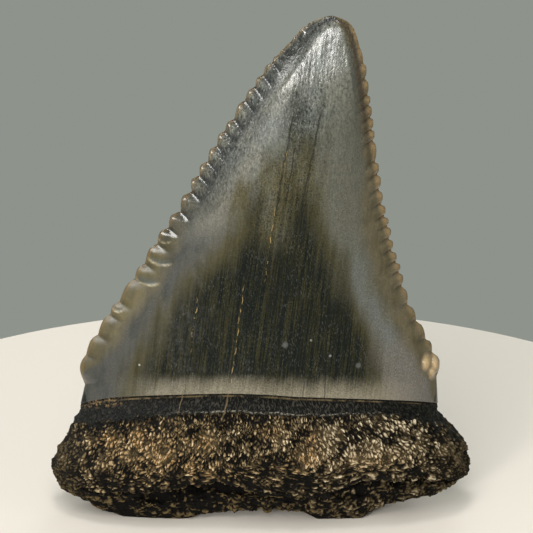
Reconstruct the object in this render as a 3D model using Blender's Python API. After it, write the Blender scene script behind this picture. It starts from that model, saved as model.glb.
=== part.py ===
"""A fossil great white shark tooth: an upper tooth whose crown leans to one side.

The tooth is one piece and stands on its root. +Z is up, X runs across the tooth and -Y is the domed
tongue side, so the flatter lip side faces +Y. The form is a stack of closed sections, extruded one
from the next. Each section runs from the left cutting edge to the right one, over the front and back
again over the rear. The sections of the root follow its own lines, which are the underside, the
crevice above it and the line where the enamel starts.

All sizes here are in millimetres, and the finished mesh is scaled to metres.
"""

import math

import bmesh
import bpy
import numpy as np
from mathutils import Vector, noise

MM = 0.001

# Heights of the guide lines at the ends of the tooth, where the crown's edges meet the root
CREVICE_H = 3.3
ENAMEL_H = 9.65
TIP_H = 44.5

# Sections: points on one side of a section, and the step between sections of the crown
COLUMNS = 28
CROWN_STEP = 1.0
ROOT_SECTIONS = (
    0, 0.5, 1.0, 1.6, 2.2, 2.8, 3.1, 3.3, 3.5, 3.8, 4.2, 4.7, 5.3, 5.9, 6.5, 7.1, 7.7, 8.3, 8.8, 9.2, 9.5,
)
LIP_SECTIONS = (9.6, 9.68, 10.2)
TIP_SECTIONS = (43.2, 43.7, 44.05, 44.3, 44.43)

# Half thickness at the middle of the tooth: (height, millimetres)
FRONT_DEPTH = (
    (0, 2.9), (1.0, 3.6), (2.2, 4.3), (2.9, 4.55), (3.3, 4.35), (3.55, 5.8), (4.2, 6.2), (5.2, 6.3),
    (6.5, 6.05), (7.8, 5.5), (8.8, 4.95), (9.3, 4.6), (9.6, 4.5), (9.68, 4.68), (10.2, 4.65),
    (11.2, 4.58), (13, 4.47), (15, 4.28), (17, 3.98), (20, 3.55), (30, 2.75), (38, 2.15), (42, 1.17),
    (43.6, 0.74), (44.2, 0.46), (44.5, 0.12),
)
BACK_DEPTH = (
    (0, 2.3), (1.2, 2.9), (3.0, 3.4), (5.0, 3.5), (7.0, 3.3), (8.8, 2.95), (9.6, 2.7), (9.68, 2.86),
    (11.5, 2.6), (15, 2.3), (20, 2.05), (30, 1.6), (38, 1.15), (42, 0.7), (43.6, 0.45), (44.5, 0.08),
)

# The ends of the root, from the underside up to the enamel: (height, x)
LEFT_ROOT = (
    (0, -15.8), (1.0, -16.8), (2.2, -17.3), (3.9, -17.45), (5.2, -17.1), (6.0, -16.5), (7.0, -15.85),
    (8.4, -15.5), (9.65, -15.1),
)
RIGHT_ROOT = (
    (0, 15.6), (1.0, 16.7), (2.2, 17.3), (4.2, 17.45), (5.6, 17.35), (6.5, 16.85), (7.2, 15.85),
    (8.0, 15.15), (9.65, 14.83),
)

# The notches between the serrations, from the cusplet at the foot of each edge up: (height, x)
LEFT_NOTCHES = (
    (11.4, -14.7), (13.85, -14.6), (15.6, -13.6), (17.45, -12.55), (18.55, -11.8), (20.65, -10.5),
    (22.0, -9.65), (23.8, -8.6), (25.25, -7.65), (26.7, -6.65), (28.5, -5.7), (29.95, -5.05),
    (31.2, -4.35), (32.65, -3.6), (33.95, -2.95), (35.0, -2.2), (36.7, -1.3), (37.9, -0.45),
    (38.95, 0.2), (40.1, 1.0), (41.9, 2.5), (43.35, 3.7),
)
RIGHT_NOTCHES = (
    (12.1, 14.7), (14.1, 14.3), (15.2, 13.75), (16.85, 12.95), (18.35, 12.2), (20.0, 11.7),
    (21.25, 11.45), (22.15, 11.2), (23.2, 10.8), (24.3, 10.6), (25.4, 10.45), (26.3, 10.2),
    (27.4, 9.95), (28.7, 9.75), (30.1, 9.65), (31.2, 9.45), (33.15, 9.25), (34.1, 9.15),
    (35.2, 9.05), (36.3, 8.9), (37.2, 8.8), (38.65, 8.6), (40.1, 8.45), (41.4, 8.2),
)
LEFT_TIP = ((43.7, 3.95), (44.1, 4.6), (44.35, 5.1), (44.5, 5.6))
RIGHT_TIP = ((42.4, 7.95), (43.1, 7.7), (43.7, 7.35), (44.2, 6.8), (44.5, 6.0))

# Guide lines across the tooth, from left to right: (x, z)
UNDERSIDE = (
    (-17.5, 2.3), (-16.4, 1.4), (-14.2, 0.75), (-12.3, 0.25), (-11.3, 0), (-6.7, 0), (-4.5, 0.5),
    (0, 0.85), (3.4, 0.6), (4.9, 0), (8.3, 0), (9.6, 0.9), (11.0, 1.35), (13.1, 1.4), (15.0, 1.7),
    (17.5, 2.7),
)
CREVICE = (
    (-17.5, 3.3), (-13.5, 3.1), (-10.4, 3.4), (-8.1, 3.8), (-5.9, 4.3), (-3.3, 4.7), (-1.9, 4.35),
    (0.4, 3.8), (2.6, 3.6), (5.2, 3.7), (7.2, 4.3), (8.3, 4.7), (10.0, 4.8), (12.3, 4.65), (14.5, 4.1),
    (17.5, 3.3),
)
CREVICE_OPENING = (
    (-17.5, 0), (-12, 0.1), (-8.5, 0.8), (-3, 1.0), (0.5, 0.4), (5, 0.35), (8, 0.9), (13, 1.0), (16.5, 0.3),
    (17.5, 0),
)
CREVICE_FILL = 1.15
CREVICE_DROP = 0.4
CREVICE_SPREAD = 0.7

# The line where the enamel starts is an arch, and this is how far it strays from one: (x, mm up)
ENAMEL_RISE = 2.4
ENAMEL_RISE_FADE = 6.0
FOOT_LINE = (
    (-15.1, -0.4), (-12.5, -0.05), (-8.8, 0.05), (-2.5, 0.15), (0.4, 0.05), (3.3, -0.15), (9.5, -0.3),
    (14.8, -0.35),
)

# Fullness of a section: the power that flattens its middle, and the power that rounds its ends
FRONT_FLATNESS = 2.7
BACK_FLATNESS = 3.6
ROOT_FLATNESS = 3.2
ROOT_ROUNDING = 0.5
CROWN_ROUNDING = 0.78
CROWN_BLEND = 2.5

# Serrations: how far they stand out (at the least, and more around a height), and their lean to the tip
SERRATION_REACH = 1.2
SERRATION_COLUMNS = 2.5
SERRATION_CUTS = 4
SERRATION_TILT = 0.35
SERRATION_SWELL = 0.6
LEFT_SERRATION = {"least": 0.29, "more": 0.24, "around": 27.5, "spread": 4.5, "lean": 0.6}
RIGHT_SERRATION = {"least": 0.24, "more": 0.1, "around": 24, "spread": 7, "lean": 0.8}
CUSPLET_OUT = 0.48
CUSPLET_LEAN = 0.9

# Lumps of the root: (size, height) of each layer of bumps, and where they fade in and out
LUMPS = ((2.6, 0.3), (1.25, 0.2))
LUMPS_START = (0.3, 1.6)
LUMPS_END_BELOW_ENAMEL = (2.4, 0.9)


def smooth_line(points):
    """A function that runs smoothly through the points and never overshoots them."""
    places, values = (np.array(column, float) for column in zip(*points))
    rise = np.diff(values) / np.diff(places)
    slope = np.concatenate([rise[:1], np.zeros(len(rise) - 1), rise[-1:]])
    for i in range(1, len(rise)):
        if rise[i - 1] * rise[i] > 0:
            slope[i] = 2 * rise[i - 1] * rise[i] / (rise[i - 1] + rise[i])

    def at(place):
        place = min(max(place, places[0]), places[-1])
        i = min(int(np.searchsorted(places, place, side="right")) - 1, len(rise) - 1)
        span = places[i + 1] - places[i]
        t = (place - places[i]) / span
        start = (1 + 2 * t) * (1 - t) ** 2 * values[i] + t * (1 - t) ** 2 * span * slope[i]
        end = t * t * (3 - 2 * t) * values[i + 1] + t * t * (t - 1) * span * slope[i + 1]
        return float(start + end)

    return at


def straight_line(points):
    """A function that runs straight from point to point."""
    places, values = zip(*points)
    return lambda place: float(np.interp(place, places, values))


def edge_line(root, notches, tip):
    """x of one edge over height: the root's rounded end, then straight from notch to notch, then the tip."""
    foot = smooth_line(root)
    blade = straight_line(root[-1:] + notches)
    point = smooth_line(notches[-1:] + tip)

    def at(height):
        if height < ENAMEL_H:
            return foot(height)
        if height < notches[-1][0]:
            return blade(height)
        return point(height)

    return at


front_depth = smooth_line(FRONT_DEPTH)
back_depth = smooth_line(BACK_DEPTH)
left_edge = edge_line(LEFT_ROOT, LEFT_NOTCHES, LEFT_TIP)
right_edge = edge_line(RIGHT_ROOT, RIGHT_NOTCHES, RIGHT_TIP)
underside = smooth_line(UNDERSIDE)
crevice = smooth_line(CREVICE)
crevice_opening = smooth_line(CREVICE_OPENING)
foot_line = smooth_line(FOOT_LINE)


def blend(low, high, value):
    """0 below low, 1 above high, and a smooth step between."""
    t = min(max((value - low) / (high - low), 0), 1)
    return t * t * (3 - 2 * t)


def fullness(across, height, flatness=FRONT_FLATNESS):
    """Share of the middle's thickness: the root's ends are round, the crown's edges thin."""
    crown = blend(ENAMEL_H - CROWN_BLEND, ENAMEL_H + CROWN_BLEND, height)
    power = ROOT_FLATNESS + (flatness - ROOT_FLATNESS) * crown
    rounding = ROOT_ROUNDING + (CROWN_ROUNDING - ROOT_ROUNDING) * crown
    return (1 - min(abs(across), 1) ** power) ** rounding


def section_point(turn, height):
    """A point of a section: turn is 0 at the left edge, pi at the right one, with the front between."""
    left, right = left_edge(height), right_edge(height)
    across = -math.cos(turn)
    x = (left + right) / 2 + across * (right - left) / 2
    if height < CREVICE_H:
        z = underside(x) + (crevice(x) - underside(x)) * height / CREVICE_H
    else:
        arch = ENAMEL_RISE * fullness(across, height) + foot_line(x)
        enamel = ENAMEL_H + arch
        if height < ENAMEL_H:
            z = crevice(x) + (enamel - crevice(x)) * (height - CREVICE_H) / (ENAMEL_H - CREVICE_H)
        else:
            z = height + arch * (1 - blend(ENAMEL_H, ENAMEL_H + ENAMEL_RISE_FADE, height))
    if math.sin(turn) > 0:
        below_lip = math.exp(-(((height - CREVICE_H + CREVICE_DROP) / CREVICE_SPREAD) ** 2))
        filled = CREVICE_FILL * (1 - crevice_opening(x)) * below_lip
        y = -(front_depth(height) + filled) * fullness(across, height)
    else:
        y = back_depth(height) * fullness(across, height, BACK_FLATNESS)
    return Vector((x, y, z))


def section_heights():
    """The sections from the underside to just below the tip."""
    first, last = LIP_SECTIONS[-1] + CROWN_STEP / 2, TIP_SECTIONS[0] - CROWN_STEP / 2
    blade = np.linspace(first, last, round((last - first) / CROWN_STEP) + 1)
    return (*ROOT_SECTIONS, *LIP_SECTIONS, *map(float, blade), *TIP_SECTIONS)


def loft(bm):
    """Extrudes the sections one from the next, then closes the underside and the tip."""
    turn_of = bm.verts.layers.float.new("turn")
    heights = section_heights()
    loop = bmesh.ops.create_circle(bm, segments=2 * COLUMNS, radius=1)["verts"]
    for i, vert in enumerate(sorted(loop, key=lambda v: math.atan2(-v.co.y, -v.co.x) % math.tau)):
        vert[turn_of] = i * math.pi / COLUMNS
        vert.co = section_point(vert[turn_of], heights[0])
    base = edges = list(bm.edges)
    for height in heights[1:]:
        made = bmesh.ops.extrude_edge_only(bm, edges=edges)["geom"]
        edges = [e for e in made if isinstance(e, bmesh.types.BMEdge)]
        for vert in {v for e in edges for v in e.verts}:
            vert.co = section_point(vert[turn_of], height)
    rim = list({v for e in edges for v in e.verts})
    tip = (section_point(math.pi / 2, TIP_H) + section_point(-math.pi / 2, TIP_H)) / 2
    bmesh.ops.pointmerge(bm, verts=rim, merge_co=tip)
    close_underside(bm, base, turn_of)


def close_underside(bm, edges, turn_of):
    """Joins each front point of the underside to the rear point behind it, so that the feet are flat."""
    rim = {v for e in edges for v in e.verts}
    by_column = {round(v[turn_of] * COLUMNS / math.pi): v for v in rim}
    front = [by_column[i] for i in range(1, COLUMNS)]
    rear = [by_column[2 * COLUMNS - i] for i in range(1, COLUMNS)]
    for i in range(len(front) - 1):
        bm.faces.new((front[i], front[i + 1], rear[i + 1], rear[i]))
    bm.faces.new((by_column[0], front[0], rear[0]))
    bm.faces.new((by_column[COLUMNS], rear[-1], front[-1]))


def serration(height, notches, shape):
    """How far a cutting edge bulges past the straight line between two notches. The lowest is the cusplet."""
    heights = [h for h, _ in notches]
    if not heights[0] < height < heights[-1]:
        return 0.0
    i = int(np.searchsorted(heights, height, side="right")) - 1
    down = (heights[i + 1] - height) / (heights[i + 1] - heights[i])
    if i == 0:
        return CUSPLET_OUT * math.sin(math.pi * down**CUSPLET_LEAN)
    more = math.exp(-(((height - shape["around"]) / shape["spread"]) ** 2))
    return (shape["least"] + shape["more"] * more) * math.sin(math.pi * down ** shape["lean"])


def serrate(bm):
    """Cuts the strips along both edges finer, then pushes their points out into rounded serrations."""
    low, high = LEFT_NOTCHES[0][0] - CROWN_STEP, TIP_SECTIONS[1]
    turn_of = bm.verts.layers.float["turn"]
    step = math.pi / COLUMNS

    def near_edge(vert):
        turn = vert[turn_of] % math.pi
        return low < vert.co.z < high and min(turn, math.pi - turn) < SERRATION_COLUMNS * step

    strips = [
        e
        for e in bm.edges
        if all(map(near_edge, e.verts)) and abs(e.verts[0][turn_of] - e.verts[1][turn_of]) < step / 2
    ]
    bmesh.ops.subdivide_edges(bm, edges=strips, cuts=SERRATION_CUTS, use_grid_fill=True)
    for vert in bm.verts:
        x, y, z = vert.co
        if z < LEFT_NOTCHES[0][0]:
            continue
        for edge, side, notches, shape in (
            (left_edge(z), -1, LEFT_NOTCHES, LEFT_SERRATION),
            (right_edge(z), 1, RIGHT_NOTCHES, RIGHT_SERRATION),
        ):
            inward = max((edge - x) * side, 0)
            if inward < SERRATION_REACH:
                fade = (1 - inward / SERRATION_REACH) ** 2
                bulge = serration(z + SERRATION_TILT * inward, notches, shape) * fade
                vert.co.x += side * bulge
                vert.co.y *= 1 + SERRATION_SWELL * bulge


def roughen_root(bm):
    """Low lumps over the root, always the same ones, fading out at the feet and below the enamel."""
    half_width, half_depth = RIGHT_ROOT[3][1], BACK_DEPTH[3][1]
    start, end = LUMPS_END_BELOW_ENAMEL
    for vert in bm.verts:
        x, y, z = vert.co
        enamel = ENAMEL_H + ENAMEL_RISE * fullness(x / half_width, ENAMEL_H) + foot_line(x)
        share = blend(*LUMPS_START, z) * (1 - blend(enamel - start, enamel - end, z))
        if share == 0:
            continue
        outward = Vector((x / half_width, y / half_depth, 0)).normalized()
        for size, height in LUMPS:
            vert.co += outward * share * height * noise.noise(Vector((x, 2 * y, z)) / size)


def centre_on_feet(bm):
    """Puts the origin under the middle of the tooth's box, on the surface that it stands on."""
    corners = np.array([v.co for v in bm.verts])
    middle = (corners.min(0) + corners.max(0)) / 2
    bmesh.ops.translate(bm, verts=bm.verts, vec=(-middle[0], -middle[1], -corners[:, 2].min()))


def fossil_material():
    material = bpy.data.materials.new("dark fossil enamel and bone")
    material.use_nodes = True
    surface = material.node_tree.nodes["Principled BSDF"]
    surface.inputs["Base Color"].default_value = (0.075, 0.072, 0.055, 1)
    surface.inputs["Roughness"].default_value = 0.35
    surface.inputs["Metallic"].default_value = 0
    return material


for item in list(bpy.data.objects):
    bpy.data.objects.remove(item)

bm = bmesh.new()
loft(bm)
serrate(bm)
roughen_root(bm)
centre_on_feet(bm)
bmesh.ops.scale(bm, verts=bm.verts, vec=(MM, MM, MM))
bmesh.ops.recalc_face_normals(bm, faces=bm.faces)
mesh = bpy.data.meshes.new("tooth")
bm.to_mesh(mesh)
bm.free()
mesh.shade_smooth()
mesh.set_sharp_from_angle(angle=math.radians(40))
tooth = bpy.data.objects.new("tooth", mesh)
mesh.materials.append(fossil_material())
bpy.context.scene.collection.objects.link(tooth)
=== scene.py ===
"""The looks of a fossil great white shark tooth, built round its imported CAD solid.

+Z is up, X runs across the tooth and -Y is the domed tongue side. Lengths are in millimetres until a
mesh is finished, and the heights of the guide lines are those of the solid.
"""

import math

import bmesh
import bpy
import numpy as np
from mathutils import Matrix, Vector, noise


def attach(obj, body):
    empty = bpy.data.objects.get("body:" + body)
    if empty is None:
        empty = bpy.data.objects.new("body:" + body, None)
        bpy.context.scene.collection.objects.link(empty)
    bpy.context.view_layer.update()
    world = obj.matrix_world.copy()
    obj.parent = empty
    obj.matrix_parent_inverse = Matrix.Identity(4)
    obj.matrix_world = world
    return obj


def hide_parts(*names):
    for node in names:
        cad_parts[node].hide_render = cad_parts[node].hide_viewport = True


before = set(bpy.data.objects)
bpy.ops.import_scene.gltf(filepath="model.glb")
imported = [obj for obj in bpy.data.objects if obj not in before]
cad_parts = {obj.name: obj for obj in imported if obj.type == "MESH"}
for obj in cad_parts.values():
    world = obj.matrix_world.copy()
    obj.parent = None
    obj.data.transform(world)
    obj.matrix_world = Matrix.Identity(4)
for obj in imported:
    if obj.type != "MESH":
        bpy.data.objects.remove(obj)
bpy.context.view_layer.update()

# Root: the fossil bone that the tooth stands on. It is porous mineralised bone in dark brown and black,
# grown as one lobed block, with a deep crease above its underside, grains that fan out from the crown
# and a smooth black neck where the enamel starts.

CREVICE_H = 3.3
CREVICE_FILL = 1.15
CREVICE_DROP = 0.4
CREVICE_SPREAD = 0.7
ENAMEL_H = 9.65
ENAMEL_RISE = 2.4
ENAMEL_RISE_FADE = 6.0
ROOT_FLATNESS = 3.2
FRONT_FLATNESS = 2.7
BACK_FLATNESS = 3.6
FLATNESS_FADE = 2.5
EDGE_THINNESS = 0.28
# From the middle of the guide lines to that of the solid's box
ORIGIN_SHIFT = np.array((0.023, 1.379, 0))
# How much the enamel's foot line departs from an even arch: (x, mm up)
FOOT_LINE = (
    (-15.1, -0.4), (-12.5, -0.05), (-8.8, 0.05), (-2.5, 0.15), (0.4, 0.05), (3.3, -0.15), (9.5, -0.3),
    (14.8, -0.35),
)

# How far the front and the back stand out at the middle of the width: (height, mm)
FRONT_DEPTH = (
    (0, 2.9), (1.0, 3.6), (2.2, 4.3), (2.9, 4.55), (3.3, 4.35), (3.55, 5.8), (4.2, 6.2), (5.2, 6.3),
    (6.5, 6.05), (7.8, 5.5), (8.8, 4.95), (9.3, 4.6), (9.6, 4.5), (9.68, 4.68), (10.2, 4.65),
    (11.2, 4.58), (13, 4.47), (15, 4.28), (17, 3.98), (20, 3.55), (30, 2.75), (38, 2.15), (42, 1.17),
    (43.6, 0.74), (44.2, 0.46), (44.5, 0.12),
)
BACK_DEPTH = (
    (0, 2.3), (1.2, 2.9), (3.0, 3.4), (5.0, 3.5), (7.0, 3.3), (8.8, 2.95), (9.6, 2.7), (9.68, 2.86),
    (11.5, 2.6), (15, 2.3), (20, 2.05), (30, 1.6), (38, 1.15), (42, 0.7), (43.6, 0.45), (44.5, 0.08),
)
# Each edge from the foot up, the root's end, the notches between the beads and the tip: (height, x)
LEFT_ROOT = (
    (0, -15.8), (1.0, -16.8), (2.2, -17.3), (3.9, -17.45), (5.2, -17.1), (6.0, -16.5), (7.0, -15.85),
    (8.4, -15.5), (9.65, -15.1),
)
RIGHT_ROOT = (
    (0, 15.6), (1.0, 16.7), (2.2, 17.3), (4.2, 17.45), (5.6, 17.35), (6.5, 16.85), (7.2, 15.85),
    (8.0, 15.15), (9.65, 14.83),
)
LEFT_NOTCHES = (
    (11.4, -14.7), (13.85, -14.6), (15.6, -13.6), (17.45, -12.55), (18.55, -11.8), (20.65, -10.5),
    (22.0, -9.65), (23.8, -8.6), (25.25, -7.65), (26.7, -6.65), (28.5, -5.7), (29.95, -5.05),
    (31.2, -4.35), (32.65, -3.6), (33.95, -2.95), (35.0, -2.2), (36.7, -1.3), (37.9, -0.45),
    (38.95, 0.2), (40.1, 1.0), (40.7, 1.4), (41.3, 1.9), (41.9, 2.48), (42.6, 3.02), (43.35, 3.7),
)
RIGHT_NOTCHES = (
    (12.1, 14.7), (14.1, 14.3), (15.2, 13.75), (16.85, 12.95), (18.35, 12.2), (20.0, 11.7),
    (21.25, 11.45), (22.15, 11.2), (23.2, 10.8), (24.3, 10.6), (25.4, 10.45), (26.3, 10.2),
    (27.4, 9.95), (28.7, 9.75), (30.1, 9.65), (31.2, 9.45), (33.15, 9.25), (34.1, 9.15),
    (35.2, 9.05), (36.3, 8.9), (37.2, 8.8), (38.65, 8.6), (40.1, 8.45), (41.4, 8.2),
)
LEFT_TIP = ((43.7, 3.95), (44.1, 4.6), (44.35, 5.1), (44.5, 5.6))
RIGHT_TIP = ((42.4, 7.95), (43.1, 7.7), (43.7, 7.35), (44.2, 6.8), (44.5, 6.0))
# The underside and the crease above it: (x, height)
UNDERSIDE = (
    (-17.5, 2.3), (-16.4, 1.4), (-14.2, 0.75), (-12.3, 0.25), (-11.3, 0), (-6.7, 0), (-4.5, 0.5),
    (0, 0.85), (3.4, 0.6), (4.9, 0), (8.3, 0), (9.6, 0.9), (11.0, 1.35), (13.1, 1.4), (15.0, 1.7),
    (17.5, 2.7),
)
CREVICE = (
    (-17.5, 3.3), (-13.5, 3.1), (-10.4, 3.4), (-8.1, 3.8), (-5.9, 4.3), (-3.3, 4.7), (-1.9, 4.35),
    (0.4, 3.8), (2.6, 3.6), (5.2, 3.7), (7.2, 4.3), (8.3, 4.7), (10.0, 4.8), (12.3, 4.65), (14.5, 4.1),
    (17.5, 3.3),
)
# How far the crease gapes, from 0 to 1: (x, share)
CREVICE_OPENING = (
    (-17.5, 0), (-12, 0.1), (-8.5, 0.8), (-3, 1.0), (0.5, 0.4), (5, 0.35), (8, 0.9), (13, 1.0), (16.5, 0.3),
    (17.5, 0),
)


def smooth_line(points):
    """A function that runs smoothly through the points and never overshoots them."""
    places, values = np.array(points, float).T
    rise = np.diff(values) / np.diff(places)
    slope = np.concatenate([rise[:1], np.zeros(len(rise) - 1), rise[-1:]])
    for i in range(1, len(rise)):
        if rise[i - 1] * rise[i] > 0:
            slope[i] = 2 * rise[i - 1] * rise[i] / (rise[i - 1] + rise[i])

    def at(place):
        place = np.clip(place, places[0], places[-1])
        i = np.clip(np.searchsorted(places, place, side="right") - 1, 0, len(rise) - 1)
        span = places[i + 1] - places[i]
        t = (place - places[i]) / span
        start = (1 + 2 * t) * (1 - t) ** 2 * values[i] + t * (1 - t) ** 2 * span * slope[i]
        return start + t * t * (3 - 2 * t) * values[i + 1] + t * t * (t - 1) * span * slope[i + 1]

    return at


def edge_line(root, notches, tip):
    """x of one edge over height: the root's round end, straight from notch to notch, then the tip."""
    foot, point = smooth_line(root), smooth_line(notches[-1:] + tip)
    places, values = zip(*(root[-1:] + notches))

    def at(height):
        blade = np.interp(height, places, values)
        upper = np.where(height < places[-1], blade, point(height))
        return np.where(height < ENAMEL_H, foot(height), upper)

    return at


front_depth = smooth_line(FRONT_DEPTH)
back_depth = smooth_line(BACK_DEPTH)
left_edge = edge_line(LEFT_ROOT, LEFT_NOTCHES, LEFT_TIP)
right_edge = edge_line(RIGHT_ROOT, RIGHT_NOTCHES, RIGHT_TIP)
underside = smooth_line(UNDERSIDE)
crevice = smooth_line(CREVICE)
crevice_opening = smooth_line(CREVICE_OPENING)


def blend(low, high, value):
    """0 below low, 1 above high, and a smooth step between."""
    t = np.clip((value - low) / (high - low), 0, 1)
    return t * t * (3 - 2 * t)


def hump(value, middle, spread):
    """1 at the middle, falling smoothly to nothing about two spreads away."""
    return np.exp(-(((value - middle) / spread) ** 2))


def fullness(across, height, flatness=FRONT_FLATNESS):
    """Share of the middle's thickness: the root's ends are round, the crown's edges thin."""
    crown = blend(ENAMEL_H - FLATNESS_FADE, ENAMEL_H + FLATNESS_FADE, height)
    power = ROOT_FLATNESS + (flatness - ROOT_FLATNESS) * crown
    return (1 - np.minimum(np.abs(across), 1) ** power) ** (0.5 + EDGE_THINNESS * crown)


def placed(turn, height, share, left, right, tuck=0.0):
    """Points of the sections. turn is 0 at the left edge and pi at the right one, with the front between.
    share draws a section in to its middle, and tuck moves its sides in by millimetres."""
    across = -np.cos(turn)
    half = (right - left) / 2 - tuck
    x = (left + right) / 2 + share * across * half
    arch = ENAMEL_RISE * fullness(across, height) + smooth_line(FOOT_LINE)(x)
    low = underside(x) + (crevice(x) - underside(x)) * height / CREVICE_H
    middle = crevice(x) + (ENAMEL_H + arch - crevice(x)) * (height - CREVICE_H) / (ENAMEL_H - CREVICE_H)
    high = height + arch * (1 - blend(ENAMEL_H, ENAMEL_H + ENAMEL_RISE_FADE, height))
    z = np.where(height < CREVICE_H, low, np.where(height < ENAMEL_H, middle, high))
    below_lip = hump(height, CREVICE_H - CREVICE_DROP, CREVICE_SPREAD)
    filled = CREVICE_FILL * (1 - crevice_opening(x)) * below_lip
    front = -(front_depth(height) + filled - tuck) * fullness(across, height)
    rear = (back_depth(height) - tuck) * fullness(across, height, BACK_FLATNESS)
    return np.stack([x, share * np.where(np.sin(turn) > 0, front, rear), z], 1)


EVEN_TURN_POINTS = 4001


def even_turns(height, columns, spacing):
    """Turns for a ring's columns. Their steps follow spacing, which takes x, the turn and the edges."""
    turn = np.linspace(0, math.tau, EVEN_TURN_POINTS)
    left, right = left_edge(height), right_edge(height)
    points = placed(turn, np.full(turn.shape, float(height)), 1.0, left, right)
    steps = np.linalg.norm(np.diff(points[:, :2], axis=0), axis=1)
    middle = (turn[1:] + turn[:-1]) / 2
    steps = steps / spacing(points[1:, 0], middle, left, right)
    travelled = np.concatenate([[0], np.cumsum(steps)])
    return np.interp(np.arange(columns) / columns * travelled[-1], travelled, turn)


def ball(name, columns, rings):
    """A closed ball, with each point's column and ring, counted from the left edge and from the foot."""
    bm = bmesh.new()
    bmesh.ops.create_uvsphere(bm, u_segments=columns, v_segments=rings, radius=1)
    mesh = bpy.data.meshes.new(name)
    bm.to_mesh(mesh)
    bm.free()
    points = read_points(mesh)
    ring = np.rint(np.arccos(np.clip(-points[:, 2], -1, 1)) / math.pi * rings).astype(int)
    around = np.arctan2(points[:, 1], points[:, 0]) + math.pi
    return mesh, np.rint(around / math.tau * columns).astype(int) % columns, ring


def read_points(mesh, what="co"):
    points = np.empty(3 * len(mesh.vertices), np.float32)
    mesh.vertices.foreach_get(what, points)
    return points.reshape(-1, 3).astype(float)


def move_points(mesh, points):
    mesh.vertices.foreach_set("co", points.astype(np.float32).ravel())
    mesh.update()


def keep_mask(mesh, name, values):
    """Stores a number for each point, for the material to read."""
    made = mesh.attributes.new(name, "FLOAT", "POINT")
    made.data.foreach_set("value", np.broadcast_to(values, len(mesh.vertices)).astype(np.float32))


def rough(points, size, seed=0.0):
    """Smooth noise from about -1 to 1. The size of its bumps is one number or one for each axis."""
    return np.array([noise.noise(p) for p in (points / np.array(size) + seed).tolist()])


# These turn the middle of a grain into a number that looks drawn by chance
OWN_WAVES = (12.9898, 78.233, 37.719)
OWN_SPREAD = 43758.5453


def grains(places, size, seed=0.0):
    """Packed grains: how high each place lies on its grain, and a number of the grain's own."""
    cells = [noise.voronoi(place) for place in (places / np.array(size) + seed).tolist()]
    near = np.array([distances[:2] for distances, _ in cells])
    middles = np.array([tuple(found[0]) for _, found in cells])
    own = np.sin(middles @ OWN_WAVES) * OWN_SPREAD
    dome = blend(0.02, 0.42, near[:, 1] - near[:, 0]) * (1 - 0.5 * near[:, 0] ** 2)
    return dome, own - np.floor(own)


def keep_places(mesh, name, places):
    """Stores a place for each point, for a pattern that follows the surface."""
    made = mesh.attributes.new(name, "FLOAT_VECTOR", "POINT")
    made.data.foreach_set("vector", places.astype(np.float32).ravel())


ROOT_COLUMNS = 700
ROOT_RINGS = 142
ROOT_SPACED_AT = 6.0
ROOT_HALF_WIDTH = 17.45
ROOT_HALF_DEPTH = 3.5
ROOT_TOP = 11.5
ROOT_UNDER_ENAMEL = 0.3
NECK_HALF_DEPTH = 4.5
LIP_TOP = 3.6
# The hollow under the crease and the lip that hangs over it: (height, spread, mm in or down)
HOLLOW = (2.35, 0.6, 1.7)
LIP_DROOP = (3.66, 0.28, 0.5)

# Lumps of the bone, and the clumps of grains on them: (size, how far they rise)
LUMPS = ((2.6, 0.3), (1.25, 0.2))
CLUMPS = (0.75, 0.26)
# Grains fan out from a point this high, and lie flat in layers near the crease: (across, down, deep)
FAN_TOP = 25.0
FAN_REACH = 20.0
GRAIN = (0.19, 0.5, 0.28)
LAYER = (0.95, 0.15, 0.27)
GRAIN_HEIGHT = 0.22
SHRED = (2.6, 1.2, 0.42)
SHRED_HEIGHT = 0.22
REAR_STEP = 2.3

# How far the smooth neck reaches below the enamel: (x, mm)
NECK_FOOT = (
    (-17.5, 2.4), (-15.4, 1.75), (-13, 1.55), (-8.8, 1.3), (-2.5, 1.2), (3.3, 1.1), (9.5, 1.1), (13.3, 1.7),
    (15.4, 2.3), (17.5, 3.2),
)
# Steps in the strip under the crease: (x, z, x, z, how deep)
FOLDS = (
    (-14.5, 2.6, -7.0, 2.2, 0.3), (-6.0, 3.2, 1.5, 2.5, 0.42), (-2.0, 2.0, 5.0, 1.7, 0.3),
    (4.5, 2.4, 10.5, 2.9, 0.35), (9.0, 2.0, 15.5, 2.6, 0.3), (-11.0, 1.3, -4.0, 1.2, 0.25),
)
# Flakes that have broken out below the neck: (x, z of the top, half width, how deep)
FLAKES = (
    (-5.1, 9.5, 0.95, 0.3), (0.5, 9.9, 1.35, 0.34), (-12.6, 8.3, 0.9, 0.25), (3.6, 9.4, 0.9, 0.28),
    (8.6, 9.0, 1.2, 0.22), (-9.8, 8.9, 0.8, 0.24),
)
# Pits in the bone: (x, z, radius, how deep)
PITS = (
    (-3.0, 9.3, 0.42, 0.5), (2.7, 9.3, 0.36, 0.44), (-3.8, 7.2, 0.5, 0.5), (-7.4, 6.4, 0.38, 0.4),
    (5.9, 6.9, 0.45, 0.45), (9.7, 7.7, 0.35, 0.4), (12.2, 6.3, 0.4, 0.4), (-12.6, 6.0, 0.4, 0.4),
    (1.1, 6.0, 0.5, 0.45), (-0.6, 8.1, 0.3, 0.35), (-4.6, 8.1, 0.45, 0.4), (7.4, 5.6, 0.4, 0.4),
)
# The neck's two fine ridges and the hollows beside them: (how far below the enamel, how far out)
NECK_RELIEF = (
    (-2, -0.1), (0, -0.14), (0.14, -0.16), (0.24, -0.04), (0.36, -0.14), (1.2, -0.16), (1.45, 0.0),
    (1.6, 0.02), (1.75, -0.12), (2.4, 0),
)
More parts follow.
